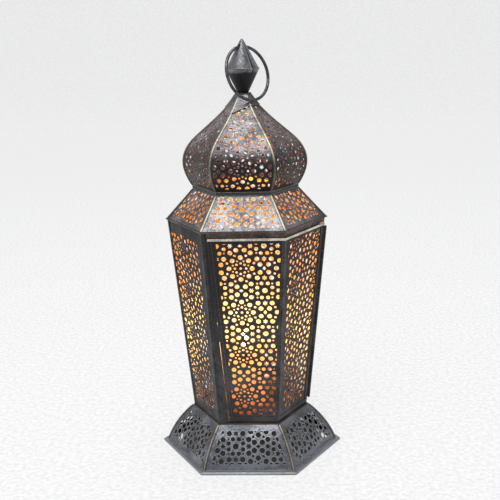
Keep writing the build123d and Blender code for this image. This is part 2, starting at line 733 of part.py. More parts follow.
def neck_ring():
    section = Circle(NECK_RING_RADIUS) - Circle(NECK_RING_BORE)
    return Pos(0, 0, CAP_TOP) * extrude(section, amount=NECK_TOP - CAP_TOP)


save("eave_rim", hex_ring(EAVE_RADIUS, EAVE_INNER_RADIUS, BODY_TOP, EAVE_TOP))
for number, (azimuth, phase) in enumerate(zip(FACES, ROOF_PHASES), 1):
    save(f"roof_panel_{number}", turned(roof_panel(phase), azimuth))
roof_seam = ROOF.corner_strip(ROOF_STRIP_LEG, END_GAP, ROOF.length - 4 * END_GAP)
save("roof_seams", [turned(roof_seam, 60 * i) for i in range(6)])
save("neck_collar", neck_collar())
save("collar_rivet", collar_rivet())
for number, (azimuth, phase) in enumerate(zip(FACES, DOME_PHASES), 1):
    gore = DOME.pierced_panel(*DOME_WINDOW, phase, DOME_PIERCING)
    save(f"dome_gore_{number}", turned(gore, azimuth))
dome_seam = DOME.corner_strip(DOME_STRIP_LEG)
save("dome_seams", [turned(dome_seam, 60 * i) for i in range(6)])
save("apex_cap", apex_cap())
save("neck_ring", neck_ring())


# ---------------------------------------------------------------- finial and carrying ring


def finial_lower_cone():
    points = [(NECK_RADIUS, NECK_TOP), (SEAM_RADIUS, FINIAL_SEAM), (SEAM_RADIUS - CONE_WALL, FINIAL_SEAM)]
    points.append((NECK_RADIUS - CONE_WALL, NECK_TOP))
    return revolve(Plane.XZ * make_face(Polyline(*points, close=True)), Axis.Z)


def eye_direction():
    yaw = math.radians(RING_YAW)
    return Vector(math.cos(yaw), math.sin(yaw), 0)


def finial_upper_cone():
    """Upper cone with a rolled lower edge and an eye drilled through its tip."""
    rolled_top = FINIAL_SEAM + LIP_TOP
    outside = [(LIP_RADIUS - LIP_ROUND, FINIAL_SEAM), (LIP_RADIUS, FINIAL_SEAM + LIP_ROUND)]
    outside += [(LIP_RADIUS, rolled_top - LIP_ROUND), (LIP_RADIUS - LIP_ROUND, rolled_top)]
    outside += [(SEAM_RADIUS - LIP_ROUND, rolled_top), (TIP_ROUND, TOTAL_HEIGHT - TIP_ROUND)]
    outside += [(TIP_FLAT, TOTAL_HEIGHT - LIP_ROUND), (0, TOTAL_HEIGHT)]
    bore = SEAM_RADIUS - LIP_ROUND - CONE_WALL
    inside = [(0, TOTAL_HEIGHT - TIP_DEPTH), (bore, rolled_top - LIP_ROUND), (bore, FINIAL_SEAM)]
    cone = revolve(Plane.XZ * make_face(Polyline(*outside, *inside, close=True)), Axis.Z)
    eye = Plane(origin=(0, 0, EYE_HEIGHT), z_dir=eye_direction())
    return cone - extrude(eye * Circle(EYE_RADIUS), amount=LIP_RADIUS, both=True)


def carry_ring():
    """Round wire ring through the eye, leaning on the front of the cap."""
    lean = math.radians(RING_LEAN)
    sideways = eye_direction().cross(Vector(0, 0, 1))
    hang = sideways * math.sin(lean) + Vector(0, 0, -math.cos(lean))
    middle = Vector(0, 0, EYE_HEIGHT) + hang * RING_RADIUS
    plane = Plane(origin=middle, x_dir=eye_direction(), z_dir=eye_direction().cross(hang))
    return plane * Torus(RING_RADIUS, RING_WIRE)


save("finial_lower_cone", finial_lower_cone())
save("finial_upper_cone", finial_upper_cone())
save("carry_ring", carry_ring())
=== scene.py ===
"""A hexagonal pierced-metal candle lantern, lit from inside, on a plain pale floor."""

import json
import math

import bmesh
import bpy
from mathutils import Matrix, Vector


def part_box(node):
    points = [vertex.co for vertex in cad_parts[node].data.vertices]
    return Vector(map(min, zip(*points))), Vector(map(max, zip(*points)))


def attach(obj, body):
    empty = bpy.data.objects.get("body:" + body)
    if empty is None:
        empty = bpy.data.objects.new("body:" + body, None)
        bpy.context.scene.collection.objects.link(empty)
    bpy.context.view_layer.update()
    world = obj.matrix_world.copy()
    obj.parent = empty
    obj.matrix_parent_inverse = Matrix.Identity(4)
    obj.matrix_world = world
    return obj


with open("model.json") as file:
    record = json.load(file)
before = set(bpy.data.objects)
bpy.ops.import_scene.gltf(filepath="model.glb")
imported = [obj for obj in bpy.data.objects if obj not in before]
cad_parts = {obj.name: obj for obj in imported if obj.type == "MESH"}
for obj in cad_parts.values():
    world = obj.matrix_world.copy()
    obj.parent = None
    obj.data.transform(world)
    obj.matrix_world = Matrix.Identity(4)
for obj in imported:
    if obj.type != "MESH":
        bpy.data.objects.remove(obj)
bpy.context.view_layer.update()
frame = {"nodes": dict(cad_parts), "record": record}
nodes = frame["nodes"]

MM = 0.001
SIDES = 6
CORNER_ANGLE = math.pi / SIDES

# The flame stands on the wick and hides its tip.
wick_low, wick_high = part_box("wick")
WICK_X = (wick_low.x + wick_high.x) / 2
WICK_Y = (wick_low.y + wick_high.y) / 2
WICK_HIDDEN = 0.004
FLAME_HEIGHT = 0.024
FLAME_RADIUS = 0.0038
FLAME_BASE = wick_high.z - WICK_HIDDEN

# ---------------------------------------------------------------- camera

# Lens in millimetres, place in metres and turns in degrees.
LENS = 67.67
CAMERA_PLACE = Vector((0.0536, -1.1074, 0.5203))
CAMERA_YAW = 2.772
CAMERA_PITCH = 13.74
CAMERA_ROLL = -1.447
CAMERA_SHIFT = 0.0061


def link(name, data):
    made = bpy.data.objects.new(name, data)
    bpy.context.scene.collection.objects.link(made)
    return made


def make_camera():
    data = bpy.data.cameras.new("camera")
    data.lens = LENS
    data.shift_x = CAMERA_SHIFT
    camera = link("camera", data)
    yaw = Matrix.Rotation(math.radians(CAMERA_YAW), 4, "Z")
    pitch = Matrix.Rotation(math.radians(90 - CAMERA_PITCH), 4, "X")
    roll = Matrix.Rotation(math.radians(CAMERA_ROLL), 4, "Z")
    camera.matrix_world = Matrix.Translation(CAMERA_PLACE) @ yaw @ pitch @ roll
    bpy.context.scene.camera = camera


make_camera()

# ---------------------------------------------------------------- shader building

# Sockets of the Mix node that carry colours.
MIX_FIRST = 6
MIX_SECOND = 7
MIX_RESULT = 2

# Height at the right-hand end of a ramp by height.
RAMP_HEIGHT = 0.5

# Multiplier that keeps only the part of a vector that is square to the lantern's axis.
ACROSS_AXIS = (1.0, 1.0, 0.0)

BEVEL_SAMPLES = 6


class Shader:
    """A material on one Principled shader, with short calls for the nodes that feed it."""

    def __init__(self, name):
        self.material = bpy.data.materials.new(name)
        self.material.use_nodes = True
        self.tree = self.material.node_tree
        self.surface = self.tree.nodes["Principled BSDF"]
        self.coords = self.node("ShaderNodeTexCoord")
        self.place = self.coords.outputs["Object"]

    def node(self, kind, **settings):
        made = self.tree.nodes.new(kind)
        for key, value in settings.items():
            setattr(made, key, value)
        return made

    def feed(self, socket, value):
        if isinstance(value, bpy.types.NodeSocket):
            self.tree.links.new(value, socket)
        elif socket.type == "RGBA" and len(value) == 3:
            socket.default_value = (*value, 1.0)
        else:
            socket.default_value = value

    def set(self, **values):
        for key, value in values.items():
            self.feed(self.surface.inputs[key.replace("_", " ")], value)
        return self.material

    def math(self, operation, *values):
        made = self.node("ShaderNodeMath", operation=operation)
        for socket, value in zip(made.inputs, values):
            self.feed(socket, value)
        return made.outputs[0]

    def vector(self, operation, *values):
        made = self.node("ShaderNodeVectorMath", operation=operation)
        for socket, value in zip(made.inputs, values):
            self.feed(socket, value)
        return made.outputs["Value" if operation in ("DOT_PRODUCT", "LENGTH") else "Vector"]

    def span(self, value, low, high, to_low=0.0, to_high=1.0):
        """Maps value from low..high to another range, clamped and smoothed."""
        made = self.node("ShaderNodeMapRange", interpolation_type="SMOOTHSTEP")
        for socket, item in zip(made.inputs, (value, low, high, to_low, to_high)):
            self.feed(socket, item)
        return made.outputs[0]

    def mix(self, factor, first, second):
        made = self.node("ShaderNodeMix", data_type="RGBA")
        self.feed(made.inputs["Factor"], factor)
        self.feed(made.inputs[MIX_FIRST], first)
        self.feed(made.inputs[MIX_SECOND], second)
        return made.outputs[MIX_RESULT]

    def stretched(self, scale):
        return self.vector("MULTIPLY", self.place, scale)

    def noise(self, scale, detail, rough, vector=None, distortion=0.0):
        """Cloudy noise from 0 to 1; scale is in cells per metre."""
        made = self.node("ShaderNodeTexNoise")
        self.feed(made.inputs["Vector"], vector or self.place)
        made.inputs["Scale"].default_value = scale
        made.inputs["Detail"].default_value = detail
        made.inputs["Roughness"].default_value = rough
        made.inputs["Distortion"].default_value = distortion
        return made.outputs[0]

    def bump(self, height, strength, distance, normal=None):
        made = self.node("ShaderNodeBump")
        made.inputs["Strength"].default_value = strength
        made.inputs["Distance"].default_value = distance
        self.feed(made.inputs["Height"], height)
        if normal is not None:
            self.feed(made.inputs["Normal"], normal)
        return made.outputs[0]

    def height(self):
        """Height above the table, in metres."""
        parts = self.node("ShaderNodeSeparateXYZ")
        self.feed(parts.inputs[0], self.place)
        return parts.outputs["Z"]

    def turn(self):
        """Azimuth round the lantern's axis, in radians."""
        parts = self.node("ShaderNodeSeparateXYZ")
        self.feed(parts.inputs[0], self.place)
        return self.math("ARCTAN2", parts.outputs["Y"], parts.outputs["X"])

    def reach(self):
        """Distance from the lantern's axis, in metres."""
        return self.vector("LENGTH", self.stretched(ACROSS_AXIS))

    def corner_distance(self):
        """Distance in metres to the nearest of the six corner lines, measured square to the radius."""
        aside = self.math("SINE", self.math("PINGPONG", self.turn(), CORNER_ANGLE))
        return self.math("MULTIPLY", self.reach(), aside)

    def by_height(self, stops):
        """A share that runs in straight lines between (height, share) stops."""
        made = self.node("ShaderNodeValToRGB")
        self.feed(made.inputs[0], self.math("DIVIDE", self.height(), RAMP_HEIGHT))
        ramp = made.color_ramp.elements
        ramp.remove(ramp[1])
        for index, (height, share) in enumerate(stops):
            stop = ramp.new(height / RAMP_HEIGHT) if index else ramp[0]
            stop.position = height / RAMP_HEIGHT
            stop.color = (share, share, share, 1.0)
        return made.outputs[0]

    def facing_in(self):
        """1 on surfaces that face the lantern's axis, 0 elsewhere."""
        outward = self.vector("NORMALIZE", self.stretched(ACROSS_AXIS))
        facing = self.vector("DOT_PRODUCT", self.coords.outputs["Normal"], outward)
        return self.span(facing, low=-0.12, high=-0.3)

    def edges(self, radius):
        """1 along sharp edges, fading over the radius."""
        rounded = self.node("ShaderNodeBevel", samples=BEVEL_SAMPLES)
        rounded.inputs["Radius"].default_value = radius
        true = self.node("ShaderNodeNewGeometry").outputs["True Normal"]
        alike = self.vector("DOT_PRODUCT", rounded.outputs[0], true)
        return self.span(alike, low=0.995, high=0.9)


# ---------------------------------------------------------------- aged metal

# Sizes of the metal's markings, in cells per metre.
CLOUD_SCALE = 38.0
SPECK_SCALE = 420.0
STREAK_SCALE = 60.0
BLOOM_SCALE = 26.0
DENT_SCALE = 16.0

# Streaks run up and down: they are this much narrower than they are tall.
STREAK_STRETCH = (7.0, 7.0, 1.0)

# Shares of clouds and specks in the mottling, of streaks in the polish, and of a stain where it blooms.
CLOUD_SHARE = 0.62
SPECK_SHARE = 0.38
STREAK_SHARE = 0.25
BLOOM_SHARE = 0.75

# Strength and depth of the relief.
DENTS = (0.9, 2.2 * MM)
SCRATCHES = (0.25, 0.15 * MM)
GRAIN = (0.35, 0.12 * MM)

# Dirt in a lap seam, and smoke on the inside paint.
GRIME = (0.012, 0.012, 0.012)
SMOKE = (0.10, 0.05, 0.02)

# Angles from a lap seam's line, and from the bright crest beside it, where each begins and is full, in
# radians; how far aside the crest stands, and how much of it shows.
LAP_LINE = (0.075, 0.03)
LAP_CREST = (0.06, 0.02)
LAP_CREST_ASIDE = 0.12
LAP_CREST_SHARE = 0.5

# Height of the waves in a patina's front, in metres.
FRONT_WAVE = 0.012

# How much of the corner strips' pale crest is left, by height: half on the skirt, little on the lower
# dome, none under the finial.
CREST_SHARES = [
    (0.046, 0.45), (0.052, 1.0), (0.326, 1.0), (0.331, 0.12),
    (0.360, 0.18), (0.385, 1.0), (0.429, 1.0), (0.434, 0.0),
]

# Distances from a corner line where the crest begins and is full, and the width of a rubbed edge, partly a
# painted highlight on the holes' rims.
CREST_HALF_WIDTHS = (1.5 * MM, 0.7 * MM)
WORN_AND_HIGHLIGHT_EDGE = 0.7 * MM

# Distances above or below the flame's foot between which the inside paint turns from near to far, the near
# colour being a painted glow of candlelight.
PAINTED_GLOW_REACH = (0.015, 0.085)


def lap_seam(shader, colour, azimuth, worn_and_highlight):
    """The line where a rolled sheet laps over itself, with a rubbed crest beside it."""
    turn = shader.math("SUBTRACT", shader.turn(), math.radians(azimuth))
    line = shader.span(shader.math("ABSOLUTE", turn), *LAP_LINE)
    crest = shader.span(shader.math("ABSOLUTE", shader.math("ADD", turn, LAP_CREST_ASIDE)), *LAP_CREST)
    colour = shader.mix(line, colour, GRIME)
    return shader.mix(shader.math("MULTIPLY", crest, LAP_CREST_SHARE), colour, worn_and_highlight)


def deepening(shader, colour, clouds, start, end, deep):
    """Colour that changes from one height to another, along a slightly wavy front; on the body, dome and
    finial it is a painted shade.
    """
    wave = shader.math("MULTIPLY_ADD", clouds, FRONT_WAVE, -FRONT_WAVE / 2)
    level = shader.math("ADD", shader.height(), wave)
    return shader.mix(shader.span(level, start, end), colour, deep)


def bloom(shader, colour, stain):
    """Warmer stain in patches."""
    patches = shader.span(shader.noise(BLOOM_SCALE, detail=5.0, rough=0.65), 0.56, 0.72)
    return shader.mix(shader.math("MULTIPLY", patches, BLOOM_SHARE), colour, stain)


def rubbed_ridge(shader, colour, mottle, pale):
    """Pale crest of a strip that runs along a corner."""
    crest = shader.span(shader.corner_distance(), *CREST_HALF_WIDTHS)
    patchy = shader.span(mottle, 0.36, 0.5, to_low=0.35)
    crest = shader.math("MULTIPLY", crest, patchy)
    crest = shader.math("MULTIPLY", crest, shader.by_height(CREST_SHARES))
    return shader.mix(crest, colour, pale)


def rubbed_edges_and_highlights(shader, colour, specks, worn_and_highlight, wear_and_highlight):
    """Sharp edges rubbed bright, partly by use and partly as a painted highlight on the holes' rims."""
    patchy = shader.span(specks, 0.35, 0.6, to_low=0.35)
    rubbed = shader.math("MULTIPLY", shader.edges(WORN_AND_HIGHLIGHT_EDGE), patchy)
    return shader.mix(shader.math("MULTIPLY", rubbed, wear_and_highlight), colour, worn_and_highlight)


def inside_paint(shader, colour, mottle, near, far):
    """Smoky paint on the faces that look at the candle, yellower near the flame's height as a painted glow.
    """
    away = shader.math("ABSOLUTE", shader.math("SUBTRACT", shader.height(), FLAME_BASE))
    paint = shader.mix(shader.span(away, *PAINTED_GLOW_REACH), near, far)
    paint = shader.mix(shader.span(mottle, 0.4, 0.65, to_high=0.3), paint, SMOKE)
    return shader.mix(shader.facing_in(), colour, paint)


def sheet_relief(shader, specks, streaks):
    """Shallow dents, fine scratches and grain."""
    dents = shader.bump(shader.noise(DENT_SCALE, detail=2.0, rough=0.5), *DENTS)
    scratches = shader.bump(streaks, *SCRATCHES, normal=dents)
    return shader.bump(specks, *GRAIN, normal=scratches)


def aged_metal(
    name, dark, light, worn_and_highlight, wear_and_highlight, metallic, rough,
    stain=None, inside=None, fade=None, ridge=None, lap=None, outer=None,
):
    """Weathered sheet metal: a cloudy patina from dark to light, its sharp edges rubbed pale, partly by use
    and partly as a painted highlight on the holes' rims.

    wear_and_highlight: how much of the pale edge colour shows, as rubbing and painted highlight
    rough: lowest and highest roughness
    stain: colour of a warmer bloom in patches
    inside: paint on the faces that look at the candle, as its colour near the flame and away from it; a
    brighter near colour is painted candlelight
    fade: start height, end height and colour that the sheet turns to from start to end, on some sheets a
    painted shade
    ridge: colour of the rubbed crest of a strip that runs along a corner
    lap: azimuth in degrees of the seam where a rolled sheet laps over itself
    outer: a distance from the axis, and the colour of what lies past it
    """
    shader = Shader(name)
    clouds = shader.noise(CLOUD_SCALE, detail=6.0, rough=0.6, distortion=0.4)
    specks = shader.noise(SPECK_SCALE, detail=3.0, rough=0.6)
    streaks = shader.noise(STREAK_SCALE, detail=3.0, rough=0.6, vector=shader.stretched(STREAK_STRETCH))
    cloudy = shader.math("MULTIPLY", clouds, CLOUD_SHARE)
    specked = shader.math("MULTIPLY", specks, SPECK_SHARE)
    mottle = shader.math("ADD", cloudy, specked)
    colour = shader.mix(shader.span(mottle, 0.40, 0.62), dark, light)
    if lap is not None:
        colour = lap_seam(shader, colour, lap, worn_and_highlight)
    if fade:
        colour = deepening(shader, colour, clouds, *fade)
    if stain:
        colour = bloom(shader, colour, stain)
    if ridge:
        colour = rubbed_ridge(shader, colour, mottle, ridge)
    if outer:
        reach, rim = outer
        colour = shader.mix(shader.math("GREATER_THAN", shader.reach(), reach), colour, rim)
    colour = rubbed_edges_and_highlights(shader, colour, specks, worn_and_highlight, wear_and_highlight)
    if inside:
        colour = inside_paint(shader, colour, mottle, *inside)
    low_rough, high_rough = rough
    polish = shader.math("ADD", mottle, shader.math("MULTIPLY", streaks, STREAK_SHARE))
    gloss = shader.span(polish, 0.5, 0.8, to_low=high_rough, to_high=low_rough)
    relief = sheet_relief(shader, specks, streaks)
    return shader.set(Base_Color=colour, Roughness=gloss, Normal=relief, Metallic=metallic)


# ---------------------------------------------------------------- materials

GUNMETAL = (0.020, 0.021, 0.024)
GUNMETAL_LIGHT = (0.056, 0.059, 0.066)
# Painted shade for the body's top, under the eave.
BODY_TOP_SHADE_TONE = (0.007, 0.007, 0.008)
PALE_STEEL = (0.50, 0.50, 0.50)
CHARRED = (0.012, 0.010, 0.009)

# Inside paint, near the flame and away from it; the gold's yellower near colour is a painted glow of
# candlelight.
GOLD_PAINT_AND_GLOW = ((0.92, 0.74, 0.34), (0.85, 0.45, 0.12))
# Dimmer gold for the dome: partly a duller paint, partly painted shade where less candlelight reaches.
DIM_GOLD_AND_SHADE = ((0.34, 0.15, 0.075), (0.34, 0.15, 0.075))
# Near black for the skirt's inside: painted shade under the floor plate.
SKIRT_INSIDE_SHADE = ((0.016, 0.014, 0.013), (0.016, 0.014, 0.013))

# Heights between which a sheet changes, and its colour past them: the skirt's is paler on the base rim,
# the roof's is darker on the neck collar, and the body's is darker towards the top, a painted shade under
# the eave.
BASE_RIM = (0.0045, 0.0028, (0.24, 0.25, 0.275))
NECK_COLLAR = (0.3245, 0.3265, (0.045, 0.044, 0.045))
BODY_TOP_SHADE = (0.10, 0.24, BODY_TOP_SHADE_TONE)

# The same for the dome, above its foot, and for the finial, below the joint of its cones: painted shade,
# darkening the metal that faces down.
DOME_SHADE = (0.058, 0.022)
FINIAL_SHADE = (0.0005, 0.004)

# Azimuth, in degrees, of the seam in the finial's sheet.
FINIAL_LAP = -48

# Distance from the axis past which the floor plate's edge shows below the body.
PLATE_OUTSIDE = 0.0612

# Lengths below the wick's tip between which it turns from clean to charred.
WICK_CHAR = (0.006, 0.003)


def dark_sheet():
    """Body and door, darker towards the top as a painted shade under the eave."""
    return aged_metal(
        "dark_sheet", dark=GUNMETAL, light=GUNMETAL_LIGHT, worn_and_highlight=(0.15, 0.15, 0.15), wear_and_highlight=0.5,
        metallic=0.3, rough=(0.40, 0.62), stain=(0.040, 0.030, 0.026), inside=GOLD_PAINT_AND_GLOW, fade=BODY_TOP_SHADE,
    )


def dark_seam():
    return aged_metal(
        "dark_seam", dark=(0.015, 0.014, 0.015), light=(0.052, 0.049, 0.050),
        worn_and_highlight=(0.19, 0.17, 0.14), wear_and_highlight=0.6, metallic=0.45, rough=(0.34, 0.56),
        stain=(0.070, 0.038, 0.023),
    )


# The hem's pale cream is partly rubbed steel and partly a painted highlight, for the light its folded edge
# catches.
def bright_hem():
    return aged_metal(
        "bright_hem", dark=(0.40, 0.36, 0.30), light=(0.88, 0.82, 0.70),
        worn_and_highlight=(0.88, 0.84, 0.76), wear_and_highlight=0.8, metallic=0.5, rough=(0.26, 0.5),
        stain=(0.14, 0.085, 0.055),
    )


def copper_band():
    return aged_metal(
        "copper_band", dark=(0.040, 0.032, 0.030), light=(0.150, 0.100, 0.078),
        worn_and_highlight=(0.34, 0.24, 0.17), wear_and_highlight=0.7, metallic=0.6, rough=(0.3, 0.55),
        stain=(0.20, 0.105, 0.060), inside=GOLD_PAINT_AND_GLOW,
    )


def skirt_sheet():
    # Its inside faces are near black, a painted shade under the floor plate.
    return aged_metal(
        "skirt_sheet", dark=(0.085, 0.092, 0.108), light=(0.225, 0.235, 0.262),
        worn_and_highlight=(0.66, 0.64, 0.58), wear_and_highlight=0.95, metallic=0.5, rough=(0.32, 0.55),
        stain=(0.13, 0.115, 0.10), inside=SKIRT_INSIDE_SHADE, fade=BASE_RIM,
    )


def roof_sheet():
    return aged_metal(
        "roof_sheet", dark=(0.085, 0.088, 0.096), light=(0.235, 0.238, 0.250),
        worn_and_highlight=(0.66, 0.64, 0.58), wear_and_highlight=0.8, metallic=0.65, rough=(0.28, 0.5),
        stain=(0.07, 0.058, 0.050), inside=GOLD_PAINT_AND_GLOW, fade=NECK_COLLAR,
    )


def dome_sheet():
    """Darker towards the dome's foot as a painted shade, with a pale crest along the gores' joints."""
    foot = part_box("dome_gore_1")[0].z
    start, end = DOME_SHADE
    # Its inside gold is dimmer, partly a duller paint and partly painted shade.
    return aged_metal(
        "dome_sheet", dark=(0.070, 0.073, 0.082), light=(0.205, 0.208, 0.222),
        worn_and_highlight=(0.50, 0.48, 0.43), wear_and_highlight=0.7, metallic=0.7, rough=(0.26, 0.46),
        stain=(0.055, 0.045, 0.040), inside=DIM_GOLD_AND_SHADE,
        fade=(foot + start, foot + end, (0.016, 0.015, 0.016)), ridge=(0.44, 0.37, 0.26),
    )


def solder():
    """Corner strips: dark at their sides and pale along the crest."""
    return aged_metal(
        "solder_seam", dark=(0.028, 0.025, 0.022), light=(0.085, 0.074, 0.060),
        worn_and_highlight=(0.30, 0.26, 0.19), wear_and_highlight=0.5, metallic=0.5, rough=(0.34, 0.6),
        stain=(0.11, 0.062, 0.035), ridge=(0.60, 0.52, 0.37),
    )


def finial_sheet():
    """Two cones of grey sheet, the lower one painted black below the joint between them, as shade."""
    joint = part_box("finial_lower_cone")[1].z
    start, end = FINIAL_SHADE
    return aged_metal(
        "finial_sheet", dark=(0.080, 0.081, 0.088), light=(0.22, 0.222, 0.235),
        worn_and_highlight=(0.42, 0.41, 0.38), wear_and_highlight=0.7, metallic=0.6, rough=(0.34, 0.52),
        stain=(0.06, 0.05, 0.045), lap=FINIAL_LAP,
        fade=(joint - start, joint - end, (0.010, 0.010, 0.0105)),
    )


def wire():
    return aged_metal(
        "wire", dark=(0.045, 0.044, 0.044), light=(0.19, 0.185, 0.18), worn_and_highlight=PALE_STEEL, wear_and_highlight=0.5,
        metallic=0.75, rough=(0.2, 0.4), stain=(0.08, 0.052, 0.036),
    )


def inner_tin():
    """Floor plate and candle cup: bare warm tin, brown on the plate's edge outside the body."""
    return aged_metal(
        "inner_tin", dark=(0.36, 0.18, 0.065), light=(0.62, 0.34, 0.12),
        worn_and_highlight=(0.30, 0.22, 0.13), wear_and_highlight=0.4, metallic=0.3, rough=(0.4, 0.65),
        stain=(0.26, 0.12, 0.05), outer=(PLATE_OUTSIDE, (0.085, 0.058, 0.036)),
    )


def wax():
    """Honey-coloured wax, cloudy, its upper part given a painted glow, an emission for the flame's light
    shining through it.
    """
    shader = Shader("wax")
    low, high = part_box("candle")
    clouds = shader.noise(45.0, detail=4.0, rough=0.5)
    pits = shader.noise(700.0, detail=2.0, rough=0.5)
    colour = shader.mix(shader.span(clouds, 0.35, 0.65), (0.74, 0.46, 0.20), (0.84, 0.60, 0.33))
    # Painted glow: the wax gives off light, most at its top, for the flame's light shining through it.
    glow = shader.span(shader.height(), low.z, high.z)
    painted_flame_glow = shader.mix(glow, (0.30, 0.085, 0.014), (1.0, 0.46, 0.12))
    rough = shader.span(pits, 0.3, 0.7, to_low=0.38, to_high=0.58)
    dents = shader.bump(clouds, strength=0.4, distance=0.8 * MM)
    relief = shader.bump(pits, strength=0.3, distance=0.1 * MM, normal=dents)
    shader.set(Subsurface_Radius=(1.0, 0.45, 0.2), Subsurface_Scale=0.010, Subsurface_Weight=0.4)
    shader.set(Emission_Color=painted_flame_glow, Emission_Strength=0.75)
    return shader.set(Base_Color=colour, Roughness=rough, Normal=relief)


def cotton():
    """Braided wick, charred at its top."""
    shader = Shader("cotton")
    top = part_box("wick")[1].z
    braid = shader.noise(260.0, detail=2.0, rough=0.5, vector=shader.stretched((3.0, 3.0, 1.0)))
    start, end = WICK_CHAR
    char = shader.span(shader.height(), top - start, top - end)
    colour = shader.mix(shader.span(braid, 0.4, 0.6), (0.55, 0.47, 0.34), (0.80, 0.72, 0.56))
    colour = shader.mix(char, colour, CHARRED)
    relief = shader.bump(braid, strength=0.8, distance=0.3 * MM)
    return shader.set(Base_Color=colour, Roughness=0.9, Normal=relief)


FINISHES = {
    "dark_sheet": dark_sheet,
    "dark_seam": dark_seam,
    "bright_hem": bright_hem,
    "copper_band": copper_band,
    "skirt_sheet": skirt_sheet,
    "roof_sheet": roof_sheet,
    "dome_sheet": dome_sheet,
    "solder_seam": solder,
    "finial_sheet": finial_sheet,
    "wire": wire,
    "inner_tin": inner_tin,
    "wax": wax,
    "cotton": cotton,
}


def paint(thing, material):
    thing.data.materials.clear()
    thing.data.materials.append(material)


finish = {slot: make() for slot, make in FINISHES.items()}
for part in frame["record"]["subparts"]:
    paint(nodes[part["node"]], finish[part["material_slot"]])

# ---------------------------------------------------------------- meshes


def to_mesh(name, made):
    mesh = bpy.data.meshes.new(name)
    made.to_mesh(mesh)
    made.free()
    return mesh


def smooth(mesh):
    for face in mesh.polygons:
        face.use_smooth = True


def lathe(name, profile, sides):
    """Closed mesh turned round the Z axis; profile runs from one axis point to the other."""
    made = bmesh.new()
    rings = []
    for radius, z in profile:
        if radius == 0:
            rings.append([made.verts.new((0, 0, z))])
            continue
        turns = [2 * math.pi * i / sides for i in range(sides)]
        rings.append([made.verts.new((radius * math.cos(t), radius * math.sin(t), z)) for t in turns])
    for lower, upper in zip(rings, rings[1:]):
        for i in range(sides):
            j = (i + 1) % sides
            below = [lower[i % len(lower)], lower[j % len(lower)]]
            above = [upper[j % len(upper)], upper[i % len(upper)]]
            made.faces.new(list(dict.fromkeys(below + above)))
    bmesh.ops.recalc_face_normals(made, faces=made.faces)
    mesh = to_mesh(name, made)
    smooth(mesh)
    return mesh


# ---------------------------------------------------------------- flame

FLAME_RINGS = 22
FLAME_SIDES = 24

# Shape of the flame: how low its belly sits, how blunt its ends are, and how much it tapers upwards.
FLAME_BELLY = 0.62
FLAME_BLUNTNESS = 0.9
FLAME_TAPER = 0.35


def flame_material():
    """Yellow-white flame, bluish at its foot."""
    shader = Shader("flame")
    up = shader.math("DIVIDE", shader.math("SUBTRACT", shader.height(), FLAME_BASE), FLAME_HEIGHT)
    colour = shader.mix(shader.span(up, 0.05, 0.35), (0.35, 0.30, 0.45), (1.0, 0.62, 0.20))
    colour = shader.mix(shader.span(up, 0.3, 0.6), colour, (1.0, 0.80, 0.42))
    return shader.set(Base_Color=colour, Roughness=0.6, Emission_Color=colour, Emission_Strength=14.0)


def flame_profile():
    """Radius and height from foot to tip, widest below the middle."""
    profile = []
    for i in range(FLAME_RINGS + 1):
        t = i / FLAME_RINGS
        swell = math.sin(math.pi * t ** FLAME_BELLY) ** FLAME_BLUNTNESS * (1 - FLAME_TAPER * t)
        radius = FLAME_RADIUS * swell if 0 < i < FLAME_RINGS else 0
        profile.append((radius, FLAME_BASE + FLAME_HEIGHT * t))
    return profile


def make_flame():
    mesh = lathe("flame", flame_profile(), FLAME_SIDES)
    mesh.transform(Matrix.Translation((WICK_X, WICK_Y, 0)))
    flame = link("flame", mesh)
    paint(flame, flame_material())
    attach(flame, "candle")


make_flame()

# ---------------------------------------------------------------- lips behind the door

# Two lips hang from the ring under the eave, one behind each face of the door, and one stands behind the
# slit beside the fixed strip. They keep the candle's light from showing round the closed door. All lengths
# here are in millimetres.

# A face of the body: distance from the axis and height of its foot, and the direction up its lean.
FOOT_REACH, FOOT_HEIGHT = 60.88, 49.8
LEAN_OUT, LEAN_UP = 0.08766, 0.99615

# Azimuths, in degrees, of the door's two faces.
FRONT_FACE = -90
SIDE_FACE = -30

# Depths of a lip's two sides behind the face, and the parts of the face's height that lips cover.
LIP_DEPTHS = (1.25, 1.7)
TOP_LIP = (231.0, 235.0)
SIDE_LIP = (131.0, 230.0)

# Width of the fixed strip at the foot of its face, and how it narrows upwards.
STILE_WIDTH = 11.6
STILE_TAPER = -0.0246

# How far a lip reaches behind the fixed strip and past it, and how far it stops short of the hinge.
TOP_LAP = 1
SIDE_LAP = 2
SIDE_LIP_REACH = 2.6
HINGE_ROOM = 9


def face_reach(up, depth):
    """Distance from the lantern's axis at a height up the face and a depth behind it."""
    return FOOT_REACH + up * LEAN_OUT - depth * LEAN_UP


def half_width(up, depth):
    """From the middle of a face to its right-hand corner."""
    return face_reach(up, depth) * math.tan(CORNER_ANGLE)


def left_corner(up, depth):
    return -half_width(up, depth)


def stile_side(up, depth):
    """The fixed strip's edge beside the slit, the same at every depth."""
    return left_corner(up, 0) + STILE_WIDTH + STILE_TAPER * up


def shifted(edge, across):
    return lambda up, depth: edge(up, depth) + across


def on_face(azimuth, across, up, depth):
    """Point of the body, in metres, from its place on one face."""
    out = face_reach(up, depth)
    height = FOOT_HEIGHT + up * LEAN_UP + depth * LEAN_OUT
    c, s = math.cos(math.radians(azimuth)), math.sin(math.radians(azimuth))
    return Vector((out * c - across * s, out * s + across * c, height)) * MM


